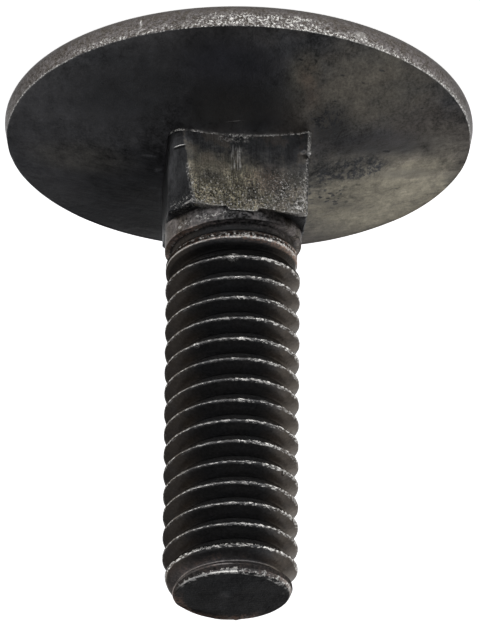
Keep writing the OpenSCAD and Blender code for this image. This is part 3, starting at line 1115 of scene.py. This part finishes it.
def thread_colour(skin, finish, end_face):
    """Colour of collar and thread: brown sides, blue-black front painted as shade, rough first land, and
    painted shade on flanks and roots.
    """
    blotch, fine, phase = skin.noise(0.9, 3, 0.6), skin.noise(5.2, 3, 0.68), skin.phase()
    off_face = 1 - end_face
    # painted shade: the side facing the camera is coloured blue-black and made darker
    facing = skin.degrees.between(-128, -48, 34)
    collar = skin.z.under(COLLAR_END, 0.4)
    land = skin.z.between(*LAND, 0.3) * skin.radius.over(4.36, 0.1)
    ends = skin.z.over(36.4, 0.8) * blotch.ramp(0.46, 0.58) * skin.radius.over(3.7, 0.2)
    lead = skin.z.over(LEAD, 0.5) * off_face
    sunk = skin.radius.under(4.40, 0.16) * skin.z.under(13, 0.5)
    cut = skin.z.over(11.5, 0.5) * off_face
    head_side = phase.between(*HEAD_SIDE, 0.03) * cut
    flank = phase.between(*TIP_SIDE, 0.06) * cut
    root = (phase.over(0.91, 0.05) + phase.under(0.10, 0.05)) * cut * skin.z.under(36.2, 0.4)
    # blue-black across the front: painted shade, with blotches of the skin
    black = (facing * 0.85 + blotch.ramp(0.45, 0.7) * 0.25).kept()
    base = skin.coats(finish.brown, (black, finish.oxide),
                      (collar * blotch.ramp(0.4, 0.6) * 0.7, finish.mauve),
                      (land * fine.ramp(0.40, 0.56) * 0.9, finish.rust),
                      (ends * fine.ramp(0.40, 0.60), finish.rust), (lead * 0.6, finish.mauve))
    tone = (fine.swing(land * 5 + collar * 3.8 + 1.4) + 1.12 - facing * 0.20
            + collar * (blotch.ramp(0.35, 0.65) * 0.9 - 0.30) + land * 1.3 + ends * 0.5)
    # painted shade: the head-side flank, the root of the groove and, at the front, the tip-side flank
    # made darker
    tone = tone * (head_side * -0.85 - root * 0.48 - flank * facing * 0.40 + 1)
    tone = (tone + lead * (fine - 0.25) * 2.2) * (sunk * -0.6 + 1)
    return base, tone.at_least(0.10), head_side + root


def crest_wear(skin):
    """Bare steel in thin, broken lines on the tip side of every crest."""
    z, phase = skin.z, skin.phase()
    wander = skin.noise(1.4, 3, 0.6).swing(0.035)
    long_way = skin.noise(0.9, 3, 0.65, z=2.5).ramp(0.36, 0.62)
    flecks = skin.noise(3.4, 4, 0.75, z=2.6).ramp(0.50, 0.56)
    line = (phase + wander).between(*BRIGHT, 0.008)
    chips = (phase + wander * 2).between(*CREST, 0.03)
    last = z.between(35.6, 37.1, 0.3)
    pressed = skin.degrees.between(-160, -95, 40) * 0.8 + last * 0.5 + 0.12
    worn = (line * (long_way * 0.22 + flecks * 1.5) * (pressed * 0.4 + 0.65)
            + chips * flecks * (long_way + last * 0.2) * pressed * 2.3
            + (phase + wander).between(0.455, 0.475, 0.008) * last * flecks)
    land = z.between(11, 12, 0.2) * skin.noise(4.4, 3, 0.75).ramp(0.53, 0.61)
    scuffed = z.between(10.1, 10.6, 0.2) * skin.x.over(0.6, 0.5) * skin.y.under(-2.5, 0.5)
    first = (land * skin.radius.over(4.30, 0.05) * 0.9 + line * z.between(11.8, 13, 0.2) * 0.4
             + scuffed * skin.noise(4.5, 3, 0.75).ramp(0.54, 0.64) * 0.8)
    crest = skin.radius.over(skin.thread.radius - 0.30, 0.08)
    return (worn * crest * z.between(FIRST_CREST, 37, 0.3) + first).kept()


def tip_wear(skin, past_end):
    """Chips of bare steel along the edge of the sheared end, most where it faces front."""
    ragged = skin.noise(2.2, z=0.7)
    chips = (ragged + skin.noise(5, 2).swing(0.5)).ramp(0.50, 0.58)
    facing = skin.degrees.between(-165, -30, 40)
    ring = (past_end + ragged.swing(0.9)).over(-0.18, 0.06) * past_end.under(-0.03, 0.02)
    fringe = skin.degrees.between(20, 110, 30) * skin.noise(5, 2, 0.5).ramp(0.52, 0.66) * 0.4
    thin = past_end.between(-0.13, -0.02, 0.03) * skin.degrees.between(-85, -5, 24)
    ring = ring + thin * skin.noise(2.6).ramp(0.44, 0.54) * 0.7
    edge = skin.radius.over(3.62, 0.08) * past_end.over(-0.15, 0.1)
    return (ring * (chips * 0.85 + thin) * facing + edge * (fringe + chips * facing * 0.5)).kept()


def head_finish(skin, finish):
    """Colour, tone, bare steel, roughness and relief of the head."""
    colour, tone, pits = underside(skin, finish)
    edge_colour, edge_tone = rolled_edge(skin, finish)
    relief = skin.noise(6.5, 3, 0.75).swing(0.06) * skin.band - pits * 0.01
    return (skin.mix(skin.band, colour, edge_colour), tone + skin.band * (edge_tone - tone),
            edge_sparkle(skin), skin.band * -0.06 + 0.30, relief)


def neck_finish(skin, finish):
    """The same of the neck."""
    scrape = skin.noise(4.5, 4, z=0.12).swing(0.05)
    pitted = skin.noise(4.5, 4, 0.75).swing(0.10) * skin.z.ramp(6.2, 9.4)
    return *neck_colour(skin, finish), neck_wear(skin), 0.24, scrape + pitted


def shank_finish(skin, finish):
    """The same of collar, thread and tip."""
    past_end = skin.past_end()
    end_face = past_end.over(-0.03, 0.02)
    colour, tone, shaded = thread_colour(skin, finish, end_face)
    smudge = skin.noise(0.6, 4, 0.65).ramp(0.35, 0.7) * 0.4
    mark = skin.spot(0.3, -0.3, 0.36, 0.5, soft=1.2) * (skin.noise(5, 2, 0.5) * 1.4)
    frayed = (past_end.over(-0.6, 0.3) * skin.radius.over(3.25, 0.5)
              * skin.degrees.between(0, 120, 40) * skin.noise(3, 4, 0.75).ramp(0.40, 0.56))
    colour = skin.coats(colour, (end_face * 0.9, finish.smoke), (frayed * 0.9, finish.rust))
    tone = tone * (end_face * (mark - smudge - 0.36) + 1) * (frayed * 0.9 + 0.74)
    burred = largest(skin.spot(x, y, size, size, z=z) for x, y, z, size in BURRS)
    chipped = burred * skin.noise(6, 3, 0.8).ramp(0.44, 0.60)
    bare = (crest_wear(skin) + tip_wear(skin, past_end) + chipped).kept()
    pitted = skin.noise(4.5, 4, 0.75).swing(0.10) * (
        skin.z.between(9.6, 12.3, 0.4) * 0.8 + end_face * 0.3 + frayed * 0.6)
    return colour, tone, bare, end_face * 0.1 + shaded * 0.6 + 0.24, pitted + burred * 0.06


# how metallic the skin is, and how much of the light it gives back at a glance
METALLIC, EDGE_TINT = 0.85, 0.45


def oxide_skin(name, scene, paint):
    """The black oxide finish: colour and tone, bare steel, roughness and fine relief."""
    material = bpy.data.materials.new(name)
    material.use_nodes = True
    tree = material.node_tree
    skin, shader = Skin(tree, scene), tree.nodes["Principled BSDF"].inputs
    colour, tone, bare, roughness, relief = paint(skin, scene.bolt_finish)
    feed(shader["Base Color"], skin.mix(bare, scaled(tree, colour, tone), scene.bolt_finish.bare))
    shader["Metallic"].default_value = METALLIC
    shader["Specular Tint"].default_value = (*[EDGE_TINT] * 3, 1)
    feed(shader["Roughness"], skin.noise(2.2, 4, 0.65) * 0.14 - bare * 0.05 + roughness)
    orange_peel = skin.noise(1.3, 3, 0.55).swing(0.030) + skin.noise(8).swing(0.010)
    bump = add_node(tree, "Bump", Distance=1 / MM, Strength=1,
                    Height=orange_peel + bare * 0.006 + relief)
    feed(shader["Normal"], bump.outputs[0])
    return material


# stage ---------------------------------------------------------------------------------------


# name, direction round the bolt and height in degrees, width and height in metres, brightness
SOFT_BOXES = (
    ("high_right_box", 133, 48, 1.6, 0.76, 0.62),
    ("low_right_box", 138, 6, 1.8, 0.46, 1.0),
    ("left_box", 0, 15, 0.9, 0.9, 0.12),
    ("low_back_box", 107, 14, 0.34, 0.44, 1.7),
    ("front_box", -98, 60, 2.0, 0.36, 1.3),
)
# the floor: its side in metres, how pale it is, how rough, and how much it glows
FLOOR, PALE, MATT, GLOW = 8, 0.85, 0.8, 0.95
# where the soft boxes look, and how far from there they hang, in metres
BOLT_FOOT, BOX_REACH = Vector((0, 0, 0.02)), 1.2
# light of the room by the height above the floor in degrees, and its cool cast
ROOM_CAST = (0.97, 0.99, 1.06)
ROOM = ((0, 0.03), (10, 0.06), (22, 0.20), (55, 0.20), (75, 0.06), (89, 0.04))


class SCENE_OT_set_bolt_stage(bpy.types.Operator):
    """Lay the pale floor, hang the soft lights and place the camera"""
    bl_idname = "scene.set_bolt_stage"
    bl_label = "Set Stage"

    def execute(self, context):
        self.lay_floor()
        self.light_world(context.scene)
        self.place_camera(context.scene, context.scene.bolt_stage)
        context.scene.view_settings.view_transform = "Standard"
        return {"FINISHED"}

    def lay_floor(self):
        """Lays a pale floor that glows enough to stay even."""
        clear()
        bpy.ops.mesh.primitive_plane_add(size=FLOOR, location=(0, 0, 0))
        floor = bpy.context.object
        floor.name = "studio_floor"
        material = bpy.data.materials.new("pale_floor")
        material.use_nodes = True
        shader = material.node_tree.nodes["Principled BSDF"].inputs
        for name, value in (("Base Color", (PALE, PALE, PALE, 1)), ("Roughness", MATT),
                            ("Emission Color", (1, 1, 1, 1)), ("Emission Strength", GLOW)):
            shader[name].default_value = value
        floor.data.materials.append(material)

    def light_world(self, scene):
        """Dim room light, with soft boxes for the shapes."""
        world = bpy.data.worlds.new("studio")
        scene.world = world
        world.use_nodes = True
        tree = world.node_tree
        towards = add_node(tree, "TexCoord").outputs["Generated"]
        room = add_node(tree, "ValToRGB", Fac=add_node(tree, "SeparateXYZ", Vector=towards).outputs["Z"])
        feed(tree.nodes["Background"].inputs["Color"], room.outputs["Color"])
        stops = room.color_ramp.elements
        while len(stops) < len(ROOM):
            stops.new(0.5)
        for stop, (rise, brightness) in zip(stops, ROOM):
            stop.position = math.sin(math.radians(rise))
            stop.color = (*(brightness * cast for cast in ROOM_CAST), 1)
        for box in SOFT_BOXES:
            self.hang_box(scene, *box)

    def hang_box(self, scene, name, turn, rise, width, height, brightness):
        """Hangs a soft box that faces the foot of the bolt."""
        turn, rise = math.radians(turn), math.radians(rise)
        out = Vector((math.cos(turn) * math.cos(rise), math.sin(turn) * math.cos(rise),
                      math.sin(rise)))
        lamp = bpy.data.lights.new(name, "AREA")
        lamp.shape, lamp.size, lamp.size_y = "RECTANGLE", width, height
        lamp.energy = brightness * math.pi * width * height
        box = bpy.data.objects.new(name, lamp)
        scene.collection.objects.link(box)
        box.location = BOLT_FOOT + out * BOX_REACH
        box.rotation_euler = (-out).to_track_quat("-Z", "Y").to_euler()

    def place_camera(self, scene, stage):
        """Places the camera and makes it the scene's own."""
        turn, rise = stage.azimuth, stage.elevation
        back = Vector((math.sin(turn) * math.cos(rise), -math.cos(turn) * math.cos(rise),
                       math.sin(rise)))
        camera = bpy.data.objects.new("camera", bpy.data.cameras.new("camera"))
        scene.collection.objects.link(camera)
        camera.location = Vector(stage.aim) + back * stage.distance
        facing = (-back).to_track_quat("-Z", "Y").to_matrix()
        camera.rotation_euler = (facing @ Matrix.Rotation(stage.roll, 3, "Z")).to_euler()
        camera.data.lens = stage.lens
        camera.data.clip_start, camera.data.clip_end = 0.05, 20
        scene.camera = camera


class VIEW3D_PT_bolt(bpy.types.Panel):
    """Sidebar panel with the sizes and the steps"""
    bl_label = "Elevator Bolt"
    bl_space_type = "VIEW_3D"
    bl_region_type = "UI"
    bl_category = "Bolt"

    def draw(self, context):
        for name, kind in GROUPS.items():
            box = self.layout.box()
            for key in kind.__annotations__:
                box.prop(getattr(context.scene, name), key)
        for step in STEPS:
            self.layout.operator(step)


STEPS = ("object.forge_bolt_head", "object.press_bolt_neck", "object.turn_bolt_collar",
         "object.roll_bolt_thread", "object.blacken_bolt", "object.weld_bolt",
         "scene.set_bolt_stage")
GROUPS = {"bolt_head": BoltHeadSizes, "bolt_neck": BoltNeckSizes, "bolt_thread": BoltThreadSizes,
          "bolt_finish": BoltFinish, "bolt_stage": BoltStage}
CLASSES = (*GROUPS.values(), OBJECT_OT_forge_bolt_head, OBJECT_OT_press_bolt_neck,
           OBJECT_OT_turn_bolt_collar, OBJECT_OT_roll_bolt_thread, OBJECT_OT_blacken_bolt,
           OBJECT_OT_weld_bolt, SCENE_OT_set_bolt_stage, VIEW3D_PT_bolt)


def register():
    """Registers the classes and hangs the groups on the scene."""
    for cls in CLASSES:
        bpy.utils.register_class(cls)
    for key, cls in GROUPS.items():
        setattr(bpy.types.Scene, key, PointerProperty(type=cls))


def unregister():
    """Takes everything off again."""
    for key in GROUPS:
        delattr(bpy.types.Scene, key)
    for cls in reversed(CLASSES):
        bpy.utils.unregister_class(cls)


def main():
    """Makes the bolt and its stage."""
    register()
    bpy.ops.object.forge_bolt_head()
    bpy.ops.object.press_bolt_neck()
    bpy.ops.object.turn_bolt_collar()
    bpy.ops.object.roll_bolt_thread()
    bpy.ops.object.blacken_bolt()
    bpy.ops.object.weld_bolt()
    bpy.ops.scene.set_bolt_stage()


if __name__ == "__main__":
    main()
